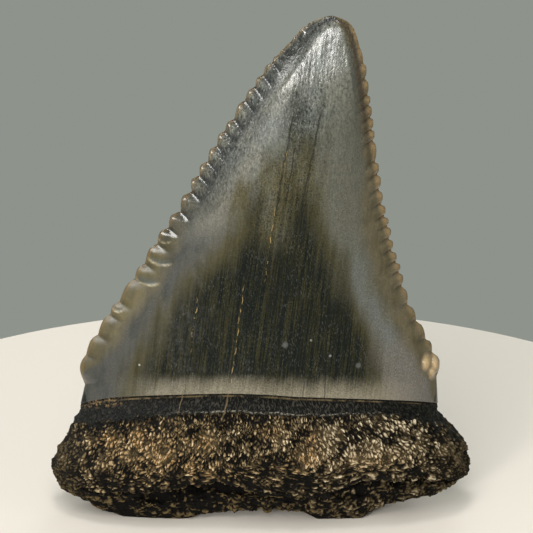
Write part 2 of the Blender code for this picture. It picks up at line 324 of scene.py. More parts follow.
# Where the bone is warmer and paler: (x, z, half width, half height, how much)
WARM_PATCHES = (
    (-9, 7.2, 4.5, 3.0, 0.7), (-12.9, 7.8, 0.9, 0.9, 1.0), (-10.1, 8.5, 0.6, 0.8, 1.0),
    (-4.9, 8.4, 0.9, 0.7, 1.0), (-7.8, 6.9, 0.6, 0.5, 1.2), (-6.3, 6.6, 0.7, 0.6, 0.9),
    (-4.0, 5.6, 3.0, 1.0, 0.6), (4.2, 8.4, 0.9, 0.8, 1.0), (3.9, 7.0, 1.2, 0.8, 0.7),
    (2.5, 6.0, 2.0, 1.2, 0.7), (9.5, 6.5, 3.5, 1.2, 0.55), (0.8, 9.0, 1.1, 0.8, 0.8),
)


def root_spacing(x, turn, left, right):
    """The front, which shows most, gets steps less than half as long as the rear."""
    return np.where(np.sin(turn) > 0, 1.0, REAR_STEP)


def root_rings():
    """The height and the share of each ring, from the middle of the underside up and in under the crown."""
    under = [(0.0, share) for share in np.linspace(0, 1, 10)]
    strip = [(height, 1.0) for height in np.linspace(0, CREVICE_H, 33)[1:]]
    lip = [(height, 1.0) for height in np.linspace(CREVICE_H, LIP_TOP, 9)[1:]]
    inside = [(10.3, 1.0), (ROOT_TOP, 1.0)]
    top = [(ROOT_TOP + 0.05, share) for share in (0.98, 0.9, 0.7, 0.4, 0.15, 0)]
    sides = ROOT_RINGS + 1 - len(under) - len(strip) - len(lip) - len(inside) - len(top)
    body = [(height, 1.0) for height in np.linspace(LIP_TOP, ENAMEL_H + 0.15, sides + 1)[1:]]
    return np.array(under + strip + lip + body + inside + top)


root_mesh, column, ring = ball("bone_root", ROOT_COLUMNS, ROOT_RINGS)
height, share = root_rings()[ring].T
turn = even_turns(ROOT_SPACED_AT, ROOT_COLUMNS, root_spacing)[column]
in_crown = blend(ENAMEL_H - 0.05, ENAMEL_H + 0.05, height)
horn = ROOT_UNDER_ENAMEL * in_crown
points = placed(turn, height, share, left_edge(height) + horn, right_edge(height) - horn)
front = np.sin(turn) > 0
opening = crevice_opening(points[:, 0]) * front
points[:, 1] *= 1 - in_crown * ROOT_UNDER_ENAMEL / NECK_HALF_DEPTH
points[:, 1] += HOLLOW[2] * opening * hump(height, *HOLLOW[:2])
points[:, 2] -= LIP_DROOP[2] * opening * hump(height, *LIP_DROOP[:2])

x, y, z = points.T
below_enamel = ENAMEL_H - height
neck_share = below_enamel / smooth_line(NECK_FOOT)(x)
on_bone = (1 - blend(-0.1, 0.0, height - ENAMEL_H)) * blend(0.0, 0.9, z + 0.15)
bare = blend(0.92, 1.2, neck_share + 0.25 * rough(points, 0.8, 6.6)) * on_bone
outward = np.stack([x / ROOT_HALF_WIDTH, y / ROOT_HALF_DEPTH, 0 * z], 1)
outward /= np.linalg.norm(outward, axis=1)[:, None] + 1e-9
for size, rise in LUMPS:
    lump_share = blend(0.3, 1.6, z) * blend(0.9, 2.4, below_enamel)
    bumps = rough(np.stack([x, 2 * y, z], 1), size)
    points += outward * (lump_share * rise * bumps)[:, None]
move_points(root_mesh, points)

normals = read_points(root_mesh, "normal")
x, y, z = points.T
size, rise = CLUMPS
clump = rough(points, (size, size, 1.3 * size), 5.3)
relief = rise * clump * bare
fan = np.arctan2(x, FAN_TOP - z)
from_top = np.hypot(x, FAN_TOP - z)
wander = 0.35 * rough(points, 1.3, 2.1) + 0.13 * rough(points, 0.4, 8.8)
in_fan = np.stack([fan * FAN_REACH + wander, from_top, y], 1)
in_layers = np.stack([x, z - 0.6 * (crevice(x) - 4) + wander, y], 1)
layered = 1 - blend(3.9, 5.8, height + 1.3 * rough(points, 2.2, 7.7))
fan_dome, fan_own = grains(in_fan, GRAIN)
layer_dome, layer_own = grains(in_layers, LAYER, 4.7)
in_layer = blend(0.35, 0.65, layered)
dome = fan_dome + (layer_dome - fan_dome) * in_layer
own = fan_own + (layer_own - fan_own) * in_layer
grain = dome * (0.5 + 0.7 * own) - 0.45
ends = blend(14.0, 16.6, np.abs(x) + 0.9 * rough(points, 1.7, 9.1))
relief += GRAIN_HEIGHT * (1 - 0.5 * ends) * grain * bare
shreds = 1 - np.abs(rough(points, SHRED, 3.9))
relief += SHRED_HEIGHT * (shreds - 0.75) * (1 - blend(3.2, 4.4, height)) * on_bone
for x0, z0, x1, z1, deep in FOLDS:
    along = (x - x0) / (x1 - x0)
    line = z0 + (z1 - z0) * along + 0.22 * rough(np.stack([x, 0 * x, 0 * x + z0], 1), 1.4)
    reach = blend(-0.05, 0.2, along) * (1 - blend(0.8, 1.05, along)) * front
    relief -= deep * reach * hump(z, line - 0.12, 0.15) - 0.4 * deep * reach * hump(z, line + 0.2, 0.14)
for flake_x, top, wide, deep in FLAKES:
    below_arc = z - top + wide
    arc = np.hypot((x - flake_x) / wide, np.maximum(below_arc, 0.45 * below_arc) / wide)
    relief -= deep * (1 - blend(0.82, 1.0, arc)) * blend(top - 2.3, top - 0.9, z) * front
for pit_x, pit_z, radius, deep in PITS:
    relief -= deep * np.exp(-(((x - pit_x) ** 2 + (z - pit_z) ** 2) / radius**2)) * front
neck_line = neck_share * 1.6 + 0.1 * rough(points, (1.2, 1.2, 1.2), 4.4) * blend(0.3, 0.8, below_enamel)
relief += smooth_line(NECK_RELIEF)(neck_line) * on_bone * (1 - blend(2.2, 2.5, neck_line))
relief += 0.06 * rough(points, 0.3, 1.9) * on_bone
points += normals * relief[:, None]
points[:, 2] = np.maximum(points[:, 2], 0)
move_points(root_mesh, (points + ORIGIN_SHIFT) * 0.001)

warm = 0 * x
for patch_x, patch_z, half_width, half_height, strength in WARM_PATCHES:
    off = np.hypot((x - patch_x) / half_width, (z - patch_z) / half_height)
    warm += strength * np.exp(-(off**2)) * front
keep_places(root_mesh, "fan", in_fan)
keep_places(root_mesh, "layers", in_layers)
keep_mask(root_mesh, "layered", layered)
flaws = 0.16 * rough(in_fan + (in_layers - in_fan) * in_layer[:, None], (0.2, 0.16, 0.2), 5.1)
keep_mask(root_mesh, "grain", np.clip(dome * (0.35 + 0.6 * own) + 0.2 * clump + flaws, 0, 1))
keep_mask(root_mesh, "warm", np.clip(warm, 0, 1))
keep_mask(root_mesh, "below_enamel", below_enamel)
keep_mask(root_mesh, "neck_share", neck_share)
keep_mask(root_mesh, "middle", hump(x, 1, 9) * front)
keep_mask(root_mesh, "stained", hump(x, -13.1, 1.5) * (1 - blend(0.3, 0.75, below_enamel)) * front)
keep_mask(root_mesh, "cool", blend(-1, 9, x))
keep_mask(root_mesh, "ends", ends)
# Painted shadow: where the crease gapes, its hollow under the lip is coloured near black as the lip's
# shadow, over the real recess.
hollow_shadow_foot = 2.3 - 0.45 * opening + 0.35 * rough(points, (1.2, 1, 1), 6.2)
in_hollow_shadow = blend(0, 0.3, height - hollow_shadow_foot) * (1 - blend(3.3, 3.5, height))
keep_mask(root_mesh, "hollow_shadow", in_hollow_shadow * blend(0.1, 0.4, opening))
keep_mask(root_mesh, "low", 1 - blend(2.9, 3.7, height))
# Painted shade: the lower bulge is darkened where it turns under, towards the crease.
keep_mask(root_mesh, "underside_shade", 1 - blend(3.4, 5.8, height + 0.8 * rough(points, 1.5, 2.6)))


def paint(red, green, blue):
    """A colour as a screen shows it, from 0 to 255, made linear."""
    return tuple(((c / 255 + 0.055) / 1.055) ** 2.4 for c in (red, green, blue)) + (1,)


def add(tree, kind, inputs=None, **settings):
    """Adds a node, gives it its settings, and links or sets its inputs."""
    made = tree.nodes.new("ShaderNode" + kind)
    for key, value in settings.items():
        setattr(made, key, value)
    for key, value in (inputs or {}).items():
        if isinstance(value, bpy.types.NodeSocket):
            tree.links.new(value, made.inputs[key])
        else:
            made.inputs[key].default_value = value
    return made


def sum_of(tree, kind, first, second=0.5, third=0.5):
    """One calculation on two or three numbers or sockets."""
    return add(tree, "Math", {0: first, 1: second, 2: third}, operation=kind).outputs[0]


def times(tree, first, second):
    return sum_of(tree, "MULTIPLY", first, second)


def scaled(tree, value, by, plus):
    """The value times one number or socket, plus another."""
    return sum_of(tree, "MULTIPLY_ADD", value, by, plus)


def largest(tree, first, *others):
    """The largest of several masks."""
    for other in others:
        first = sum_of(tree, "MAXIMUM", first, other)
    return first


def past(tree, value, limit, steep):
    """0 up to the limit, then a straight rise to 1 that is that steep."""
    over = sum_of(tree, "SUBTRACT", value, limit)
    return add(tree, "Clamp", {0: times(tree, over, steep)}).outputs[0]


def step_up(tree, value, low, high, to_low=0.0, to_high=1.0):
    """A smooth step from to_low to to_high as the value runs from low to high."""
    inputs = {"Value": value, "From Min": low, "From Max": high, "To Min": to_low, "To Max": to_high}
    return add(tree, "MapRange", inputs, interpolation_type="SMOOTHSTEP").outputs[0]


def mixed(tree, below, above, mask):
    """One colour laid over another where the mask says."""
    return add(tree, "Mix", {0: mask, 6: below, 7: above}, data_type="RGBA").outputs[2]


def mask_of(tree, name):
    return add(tree, "Attribute", attribute_name=name).outputs["Fac"]


def grit(tree, where, scale, detail=3.0, stretch=(1, 1, 1)):
    """Noise from 0 to 1, with features about a millimetre over the scale."""
    spread = add(tree, "Mapping", {"Vector": where, "Scale": stretch}).outputs[0]
    return add(tree, "TexNoise", {"Vector": spread, "Scale": scale, "Detail": detail}).outputs[0]


def strokes_of(tree, name, scale):
    """Fine strokes that run along the places stored on the piece under that name."""
    where = add(tree, "Attribute", attribute_name=name).outputs["Vector"]
    return grit(tree, where, 1.0, 2.0, scale)


def own_place(tree):
    """The place on the piece in millimetres, as a vector."""
    place = add(tree, "TexCoord").outputs["Object"]
    return add(tree, "VectorMath", {0: place, 1: (1000, 1000, 1000)}, operation="MULTIPLY").outputs[0]


def socket(group, name, kind="NodeSocketFloat"):
    group.interface.new_socket(name=name, in_out="INPUT", socket_type=kind)


def crack_group():
    """A hairline crack: its line from head to foot, its width, and how broken and wavy it is."""
    group = bpy.data.node_groups.new("hairline crack", "ShaderNodeTree")
    socket(group, "Place", "NodeSocketVector")
    for name in ("Head X", "Head Z", "Foot X", "Foot Z", "Width", "Gaps", "Wave"):
        socket(group, name)
    group.interface.new_socket(name="Mask", in_out="OUTPUT", socket_type="NodeSocketFloat")
    given = group.nodes.new("NodeGroupInput").outputs
    axes = add(group, "SeparateXYZ", {0: given["Place"]}).outputs
    line = add(
        group,
        "MapRange",
        {
            "Value": axes["Z"], "From Min": given["Foot Z"], "From Max": given["Head Z"],
            "To Min": given["Foot X"], "To Max": given["Head X"],
        },
        clamp=False,
    ).outputs[0]
    wave = grit(group, given["Place"], 0.9, 2.0, (1, 0, 1))
    swing = times(group, sum_of(group, "SUBTRACT", wave, 0.5), given["Wave"])
    off = sum_of(group, "ABSOLUTE", sum_of(group, "SUBTRACT", axes["X"], sum_of(group, "ADD", line, swing)))
    thin = sum_of(group, "SUBTRACT", 1.0, sum_of(group, "DIVIDE", off, given["Width"]))
    inside = add(group, "Clamp", {0: thin}).outputs[0]
    above_foot = past(group, axes["Z"], given["Foot Z"], 1.5)
    below_head = past(group, given["Head Z"], axes["Z"], 1.5)
    length = times(group, above_foot, below_head)
    broken = grit(group, given["Place"], 1.8, 3.0, (0.3, 0, 1))
    whole = past(group, broken, given["Gaps"], 9.0)
    mask = times(group, times(group, inside, length), whole)
    end = group.nodes.new("NodeGroupOutput")
    group.links.new(mask, end.inputs["Mask"])
    return group


hairline_crack = crack_group()


def crack(tree, place, line, wave=0.5):
    """One crack from its line: (head x, head z, foot x, foot z, width, gaps)."""
    names = ("Head X", "Head Z", "Foot X", "Foot Z", "Width", "Gaps")
    made = add(tree, "Group", node_tree=hairline_crack)
    tree.links.new(place, made.inputs["Place"])
    for name, value in zip(names, line):
        made.inputs[name].default_value = value
    made.inputs["Wave"].default_value = wave
    return made.outputs[0]


# How fine the strokes between the grains are: (across, down, deep)
FINE_FAN = (6.2, 3.3, 4.0)
FINE_LAYERS = (2.0, 6.6, 4.0)
STROKE_DEPTH = 0.00012
BONE_SPECULAR = 0.15
# The pores' black is partly painted shade, and the palest grain colour is a painted highlight on the grain
# tops.
PORE_AND_SHADOW_BLACK = paint(9, 7, 4)
BONE_BROWN = paint(74, 62, 41)
GRAIN_TAN = paint(143, 126, 95)
GRAIN_GREY = paint(160, 148, 124)
GRAIN_WARM = paint(160, 126, 82)
GRAIN_HIGHLIGHT_PALE = paint(206, 190, 160)
STRIP_BROWN = paint(92, 78, 48)
END_GREY = paint(54, 44, 22)
NECK_BLACK = paint(5, 6, 5)
NECK_GREY = paint(47, 45, 38)
NECK_TAN = paint(104, 90, 64)
NECK_WHITE = paint(132, 128, 115)
NECK_STAIN = paint(128, 103, 68)
# Cracks that run on from the enamel: (head x, head z, foot x, foot z, width, gaps)
NECK_CRACKS = ((-2.35, 13.5, -3.3, 9.9, 0.1, 0.2), (-6.3, 12.5, -7.0, 10.2, 0.07, 0.35))


def bone_material():
    """Dark fossil bone: tan grains on near-black, a black neck with two fine pale lines, painted highlights
    on the grain tops and painted shade between the grains, in the crease and under the lower bulge.
    """
    material = bpy.data.materials.new("fossil bone")
    material.use_nodes = True
    tree = material.node_tree
    surface = tree.nodes["Principled BSDF"]
    place = own_place(tree)
    cloud = grit(tree, place, 0.65, 3.0)
    fine = grit(tree, place, 6.0, 3.0)
    grain = mask_of(tree, "grain")
    ends = mask_of(tree, "ends")
    low = mask_of(tree, "low")
    warm = mask_of(tree, "warm")
    below = mask_of(tree, "below_enamel")

    layered = step_up(tree, mask_of(tree, "layered"), 0.3, 0.7)
    fanned, laid = strokes_of(tree, "fan", FINE_FAN), strokes_of(tree, "layers", FINE_LAYERS)
    strokes = add(tree, "Mix", {0: layered, 2: fanned, 3: laid}).outputs[0]
    stroke = step_up(tree, strokes, 0.3, 0.7)
    middle = step_up(tree, mask_of(tree, "middle"), 0.2, 0.8)
    wobble = sum_of(tree, "SUBTRACT", grit(tree, place, 1.2, 3.0), 0.5)
    wobble = times(tree, wobble, step_up(tree, middle, 0.0, 1.0, 1.5, 0.3))
    foot = sum_of(tree, "ADD", mask_of(tree, "neck_share"), wobble)
    # lit is the bone's brightness: the grains' own tan and brown, with the grain tops painted lighter as
    # highlights and the gaps darker as shade.
    lit = times(tree, grain, step_up(tree, stroke, 0.0, 1.0, 0.75, 1.2))
    lit = sum_of(tree, "ADD", lit, scaled(tree, fine, 0.3, -0.15))
    patchy = step_up(tree, cloud, 0.36, 0.6, -0.19, 0.1)
    lit = sum_of(tree, "ADD", lit, scaled(tree, warm, 0.12, patchy))
    lit = sum_of(tree, "ADD", lit, step_up(tree, foot, 1.0, 1.7, -0.12, 0.0))
    cool = mask_of(tree, "cool")
    lit = sum_of(tree, "ADD", lit, step_up(tree, cool, 0.0, 1.0, -0.1, 0.01))
    # Painted shade under the lower bulge.
    lit = scaled(tree, mask_of(tree, "underside_shade"), -0.19, lit)
    dull = largest(tree, times(tree, low, 0.4), times(tree, ends, 0.55))
    shining = sum_of(tree, "SUBTRACT", 1.0, dull)
    colour = mixed(tree, PORE_AND_SHADOW_BLACK, BONE_BROWN, step_up(tree, lit, -0.06, 0.29))
    grain_colour = mixed(tree, mixed(tree, GRAIN_TAN, GRAIN_GREY, cool), GRAIN_WARM, warm)
    colour = mixed(tree, colour, grain_colour, times(tree, step_up(tree, lit, 0.24, 0.62), shining))
    colour = mixed(tree, colour, GRAIN_HIGHLIGHT_PALE, times(tree, step_up(tree, lit, 0.6, 0.95), shining))
    in_strip = times(tree, low, step_up(tree, lit, 0.1, 0.6, 0.0, 0.9))
    in_strip = times(tree, in_strip, scaled(tree, cool, -0.6, 1.0))
    colour = mixed(tree, colour, STRIP_BROWN, in_strip)
    at_ends = times(tree, ends, step_up(tree, lit, 0.15, 0.6, 0.1, 0.6))
    colour = mixed(tree, colour, END_GREY, at_ends)
    # Painted shadow of the lip, in the crease's hollow.
    colour = mixed(tree, colour, PORE_AND_SHADOW_BLACK, step_up(tree, mask_of(tree, "hollow_shadow"), 0.1, 0.6, 0.0, 0.97))

    neck = step_up(tree, foot, 0.95, 1.15, 1.0, 0.0)
    greyed = times(tree, step_up(tree, stroke, 0.45, 0.9), step_up(tree, middle, 0.0, 1.0, 0.5, 1.0))
    speckled = mixed(tree, NECK_BLACK, NECK_GREY, greyed)
    colour = mixed(tree, colour, speckled, neck)
    tan_line = times(tree, step_up(tree, below, 0.1, 0.16), step_up(tree, below, 0.2, 0.27, 1.0, 0.0))
    worn = step_up(tree, grit(tree, place, 1.6, 3.0, (0.7, 0.7, 1)), 0.4, 0.62, 0.05, 0.8)
    colour = mixed(tree, colour, NECK_TAN, times(tree, tan_line, worn))
    white_line = times(tree, step_up(tree, foot, 0.87, 0.92), step_up(tree, foot, 0.95, 1.02, 1.0, 0.0))
    broken = times(tree, step_up(tree, fine, 0.45, 0.62, 0.0, 0.85), middle)
    colour = mixed(tree, colour, NECK_WHITE, times(tree, white_line, broken))
    cracks = [crack(tree, place, line) for line in NECK_CRACKS]
    colour = mixed(tree, colour, NECK_TAN, largest(tree, *cracks))
    blotches = step_up(tree, grit(tree, place, 3.6, 3.0), 0.5, 0.64)
    stained = times(tree, mask_of(tree, "stained"), blotches)
    colour = mixed(tree, colour, NECK_STAIN, stained)
    tree.links.new(colour, surface.inputs["Base Color"])

    shine = largest(tree, times(tree, neck, 0.6), step_up(tree, lit, 0.3, 0.8))
    tree.links.new(step_up(tree, shine, 0.0, 1.0, 0.85, 0.42), surface.inputs["Roughness"])
    surface.inputs["Specular IOR Level"].default_value = BONE_SPECULAR
    relief = scaled(tree, fine, 0.5, times(tree, stroke, 0.8))
    bump = add(tree, "Bump", {"Height": relief, "Strength": 0.8, "Distance": STROKE_DEPTH})
    tree.links.new(bump.outputs[0], surface.inputs["Normal"])
    return material


def piece(mesh, material):
    """Makes a finished mesh a piece of the tooth."""
    mesh.shade_smooth()
    mesh.materials.append(material)
    made = bpy.data.objects.new(mesh.name, mesh)
    bpy.context.scene.collection.objects.link(made)
    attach(made, "root")
    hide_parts("tooth")
    return made


bone_root = piece(root_mesh, bone_material())

# Crown: the enamel cap that the shark bit with. It is hard glassy enamel over dentine, grown in one
# cap over the root's neck, stained from honey at the thin serrated edges to a dark olive core, and
# worn to a satin shine, with hairline cracks from head to foot.

TIP_H = 44.5
CROWN_COLUMNS = 300
CROWN_RINGS = 316
CROWN_SPACED_AT = 20.0
CROWN_FOOT = 9.72
BLADE_TOP = 43.3
EDGE_SOFTNESS = 1.7
EDGE_REACH = 2.4
LEFT_BONE_EDGE = 0.4
RIGHT_BONE_EDGE = 0.3
BONE_EDGE_FADE = 1.5
# The beads of each edge: how far they bulge at least, how much more around one height and over what
# spread, how low the bulge sits in a bead, how far in a bead reaches and how steeply it runs down
LEFT_BEADS = {
    "least": 0.29, "more": 0.24, "around": 27.5, "spread": 4.5, "lean": 0.6, "reach": 1.15, "tilt": 0.55,
}
RIGHT_BEADS = {
    "least": 0.24, "more": 0.1, "around": 24, "spread": 7, "lean": 0.8, "reach": 0.8, "tilt": 0.3,
}
BEAD_RELIEF = 0.32
# These turn the count of a bead into a number that looks drawn by chance
BEAD_WAVE = 91.7
BEAD_SPREAD = 4375.85
NOTCH_DEPTH = 0.18
LEFT_BEVEL_HOLLOW = 0.2
RIGHT_BEVEL_HOLLOW = 0.12
RIDGE_STEEP = 0.27
CREST_SLOPE = 0.06
TIP_CORNER = 0.05
TIP_WEAR = 0.24
EDGE_HALF = 0.05
CUSPLET_OUT = 0.48
CUSPLET_LEAN = 0.9
CUSPLET_RISE = 0.32
# The growth lines of the enamel lean: mm across for each mm up, past this height
GROWTH_LEAN = 0.12
GROWTH_FROM = 11
GROWTH_LINE = (0.2, 1, 7)
GROWTH_RISE = 0.008
# Scallops chipped out of the left edge: (how far in, height, half width, half height, how deep)
CHIPS = (
    (0.9, 21.05, 0.95, 0.5, 0.13), (0.95, 22.8, 0.85, 0.42, 0.1), (0.3, 18.2, 0.35, 0.28, 0.1),
    (0.35, 24.5, 0.4, 0.3, 0.08),
)
# The right cusplet is two lobes that meet at a foot: (x, z, half width, half height)
CUSPLET_LOBES = ((13.85, 13.45, 0.37, 0.7), (14.62, 13.3, 0.36, 0.85), (14.38, 12.45, 0.34, 0.6))


def soft_edge(edge):
    """The edge's line without its small kinks, for the faces that lie between the edges."""
    heights = np.arange(ENAMEL_H, TIP_H, 0.05)
    nearness = hump(heights[:, None], heights[None, :], EDGE_SOFTNESS)
    line = nearness @ edge(heights) / nearness.sum(1)

    def at(height):
        soft = np.interp(height, heights, line)
        return soft + (edge(height) - soft) * blend(39.0, 43.0, height)

    return at


def least_of(lines, softness):
    """The lowest of several lines, with rounded corners where they cross."""
    return -softness * np.log(sum(np.exp(-line / softness) for line in lines))


def crown_spacing(x, turn, left, right):
    """Steps shorten to a third near both edges, for the serrations."""
    near = np.minimum(x - left, right - x)
    return np.where(np.sin(turn) > 0, 1.0, 1.35) * (1 - 0.66 * np.exp(-((near / 1.4) ** 2)))


def crown_rings():
    """The height, share and tuck of each ring, from the hidden middle of the foot up to the tip."""
    inside = [(CROWN_FOOT, share, 0.3) for share in (0, 0.3, 0.6, 0.8, 0.92, 0.98, 1.0)]
    lip = [(9.66, 1.0, 0.14), (9.67, 1.0, 0.05), (9.7, 1.0, 0.01), (CROWN_FOOT + 0.03, 1.0, 0)]
    tip_heights = (43.4, 43.5, 43.6, 43.7, 43.8, 43.9, 44.0, 44.1, 44.19, 44.27, 44.34, 44.4, 44.45, 44.48)
    tip = [(h, 1.0, 0) for h in tip_heights]
    blade = np.linspace(CROWN_FOOT + 0.1, BLADE_TOP, CROWN_RINGS - len(inside) - len(lip) - len(tip) - 1)
    top = [(TIP_H, 0.6, 0), (TIP_H, 0, 0)]
    return np.array(inside + lip + [(h, 1.0, 0) for h in blade] + tip + top)


def beads(height, notches, shape):
    """How far an edge bulges past the line between two notches, the place from 0 to 1 in its bead, and
    a number of the bead's own."""
    heights = np.array([h for h, _ in notches])
    i = np.clip(np.searchsorted(heights, height, side="right") - 1, 0, len(heights) - 2)
    down = np.clip((heights[i + 1] - height) / (heights[i + 1] - heights[i]), 0, 1)
    inside = (height > heights[0]) & (height < heights[-1])
    own = np.sin(i * BEAD_WAVE + len(notches)) * BEAD_SPREAD
    own = own - np.floor(own)
    size = shape["least"] + shape["more"] * hump(height, shape["around"], shape["spread"])
    size = size * (1 - 0.68 * blend(39.6, 41.0, height))
    out = size * np.sin(math.pi * down ** shape["lean"])
    out = np.where(i == 0, CUSPLET_OUT * np.sin(math.pi * down**CUSPLET_LEAN), out)
    return np.where(inside, out, 0), np.where(inside, down, 0), own


crown_mesh, column, ring = ball("enamel_crown", CROWN_COLUMNS, CROWN_RINGS)
height, share, tuck = crown_rings()[ring].T
turn = even_turns(CROWN_SPACED_AT, CROWN_COLUMNS, crown_spacing)[column]
left, right = soft_edge(left_edge)(height), soft_edge(right_edge)(height)
points = placed(turn, height, share, left, right, tuck)
front = np.sin(turn) > 0
facing = np.where(front, -1, 1)
x, y, z = points.T.copy()
from_left, from_right = x - left, right - x
side_mask = blend(0.0, 0.5, height - CROWN_FOOT)
points[:, 0] += (left_edge(height) - left) * np.clip(1 - from_left / EDGE_REACH, 0, 1) ** 2
points[:, 0] += (right_edge(height) - right) * np.clip(1 - from_right / EDGE_REACH, 0, 1) ** 2
low_left = (1 - blend(20, 27, height)) * (from_left < from_right)

bead_shape, groove, notch_shade, lower_side_shade = np.zeros((4, len(x)))
for inward, side, notches, shape in (
    (from_left, -1, LEFT_NOTCHES, LEFT_BEADS),
    (from_right, 1, RIGHT_NOTCHES, RIGHT_BEADS),
):
    inward = np.maximum(inward, 0)
    lean = shape["tilt"] * (0.35 + 0.65 * blend(22, 33, height))
    out, down, own = beads(height + lean * inward, notches, shape)
    reach = shape["reach"] * (1 + 0.05 * low_left) * (1 - 0.5 * blend(38.5, 41.5, height))
    near = np.clip(1 - inward / reach, 0, 1)
    points[:, 0] += side * out * near**2
    ridge = 1.2 * np.clip(down / 0.28, 0, 1) * (1 - down) ** 0.7
    tile = 1.2 * down**0.9 * np.clip((1 - down) / 0.22, 0, 1)
    cushion = ridge + (tile - ridge) * low_left * 0.8
    rounded = 1 - 0.65 * low_left * (1 - blend(0.0, 0.35, inward))
    bead_shape += cushion * rounded * near**0.9 * (0.75 + 0.5 * own)
    in_notch = np.exp(-((np.minimum(down, 1 - down) / 0.17) ** 2)) * (down > 0)
    groove += in_notch * near**0.6 * (1 - 0.5 * low_left)
    notch_shade += in_notch * near**0.6 * (1.0 if side < 0 else 0.45)
    if side < 0:
        lower_side_shade += blend(0.3, 0.85, down) * near**0.5 * blend(24, 28, height)
worn_edge = (1 - 0.15 * low_left) * (1 - 0.6 * blend(39.5, 41.5, height))
relief = (BEAD_RELIEF * bead_shape - NOTCH_DEPTH * groove) * worn_edge

# Near the tip the front is one flat face between two bevels. The left one meets it in a sharp ridge.
width = np.maximum(right - left, 0.01)
across = np.clip((2 * x - left - right) / width, -1, 1)
ridge_in, crest_in = np.minimum(1.65, 0.2 * width + 0.35), np.minimum(1.0, 0.22 * width)
deep = front_depth(height)
past_crest = np.maximum(width - crest_in - from_left, 0)
past_ridge = np.maximum(from_left - ridge_in, 0)
rounding = 0.45 + 0.3 * blend(41.0, 43.3, height)
flat_face = deep - CREST_SLOPE * past_crest - RIDGE_STEEP * rounding * np.exp(-past_ridge / rounding)
at_ridge = deep - CREST_SLOPE * (width - crest_in - ridge_in) - RIDGE_STEEP * rounding
at_ridge = np.maximum(at_ridge, 0.1)
bevels = (at_ridge * from_left / ridge_in, deep * from_right / crest_in)
tip_face = least_of((flat_face, *bevels), TIP_CORNER)
tip_share = blend(33.5, 41.5, height)
relief += (tip_face - deep * fullness(across, height)) * tip_share * front
left_bevel = hump(from_left, 1.0, 0.6) * blend(28, 34, height) * (1 - tip_share) * front
right_bevel = hump(from_right, 0.75, 0.55) * blend(27, 37, height) * front
relief -= LEFT_BEVEL_HOLLOW * left_bevel + RIGHT_BEVEL_HOLLOW * right_bevel * (1 - tip_share)
swells = 0.05 * rough(points, (3.5, 3.5, 6), 6.1) + 0.02 * rough(points, (0.6, 0.6, 1.6), 8.2)
grown_x = x - GROWTH_LEAN * (z - GROWTH_FROM)
growth_lines = GROWTH_RISE * rough(np.stack([grown_x, y, z], 1), GROWTH_LINE, 3.3)
relief += (swells + growth_lines) * side_mask
chipped, chip_rim_glint = np.zeros((2, len(x)))
for inward, chip_h, wide, tall, cut in CHIPS:
    uphill = (height - chip_h) / tall
    off = np.hypot((from_left - inward) / wide, uphill)
    inside = (1 - blend(0.75, 1.0, off)) * (1 - blend(-0.6, 1.0, uphill)) * front
    # Painted highlight: the lower rim of each chip, which catches the light from above, is coloured cream.
    rim = hump(off, 1.0, 0.12) * (1 - blend(-0.7, 0.1, uphill)) * front
    relief -= cut * inside
    chipped = np.maximum(chipped, inside * wide)
    chip_rim_glint = np.maximum(chip_rim_glint, rim)
lobes = 0 * x
for lobe_x, lobe_z, half_width, half_height in CUSPLET_LOBES:
    off = np.hypot((points[:, 0] - lobe_x) / half_width, (z - lobe_z) / half_height)
    lobes = np.maximum(lobes, np.clip(1.5 * np.exp(-(off**2)) - 0.3, 0, 1))
relief += CUSPLET_RISE * lobes * front
points[:, 1] += facing * relief * np.where(height < CROWN_FOOT, 0, 1)
depth = points[:, 1]
points[:, 1] = np.where(front, np.minimum(depth, EDGE_HALF), np.maximum(depth, -EDGE_HALF))
points[:, 2] -= TIP_WEAR * blend(43.0, TIP_H, height)
move_points(crown_mesh, (points + ORIGIN_SHIFT) * 0.001)

# Where the stains of the enamel lie: the borders of the dark core, as (height, x)
CORE_LEFT = (
    (9, -11.1), (13.7, -10.1), (16, -8.9), (18.7, -7.5), (21.2, -5.9), (23.8, -3.5), (26.4, -1.9),
    (29, -1.5), (31.5, 0.7), (35, 2.5), (38, 3.2),
)
CORE_RIGHT = (
    (9, 9.9), (13.7, 9.5), (16, 9.4), (18.7, 8.3), (21.2, 6.9), (23.8, 6.5), (26.4, 5.4), (29, 5.0),
    (37, 5.2),
)
# How wide the honey stain of each edge is: (height, mm)
LEFT_HONEY = (
    (9.6, 0.2), (12.2, 0.2), (14.5, 1.7), (20, 2.1), (26, 1.3), (30, 0.75), (34, 0.5), (44, 0.4),
)
RIGHT_HONEY = ((9.6, 0.3), (13, 1.4), (18, 2.2), (26, 2.0), (32, 0.9), (44, 0.7))
RIM_WIDTH = 0.22

streaks = rough(np.stack([grown_x, 0 * y, z], 1), (0.42, 1, 9), 5.5)
wave = 0.5 * rough(points, (1.6, 5, 3.0), 1.1) + 0.7 * streaks
past_left = x - smooth_line(CORE_LEFT)(z) + wave
past_right = smooth_line(CORE_RIGHT)(z) - x + wave
fading = z + 3.5 * streaks + 2.0 * rough(points, 2.5, 2.9)
fading += 1.5 * hump(x, 0.9, 0.9) - 2.5 * hump(x, 3.1, 1.1)
core = blend(-1.4, 1.8, past_left) * blend(-1.4, 1.8, past_right) * (1 - blend(22.0, 32.5, fading))
olive = blend(-2.2, 0.2, past_left) * blend(-1.2, 0.6, past_right) * (1 - blend(32, 45, fading))
honey_width = np.interp(height, *zip(*LEFT_HONEY))
honey_left = 1 - blend(0.35, 1.3, (from_left + 0.35 * rough(points, 1.3, 3.7)) / honey_width)
honey_width = np.interp(height, *zip(*RIGHT_HONEY))
honey_right = 1 - blend(0.45, 1.3, (from_right + 0.25 * rough(points, 1.5, 8.7)) / honey_width)
honey = honey_left * (1 - 0.65 * blend(22.5, 26, height)) + honey_right
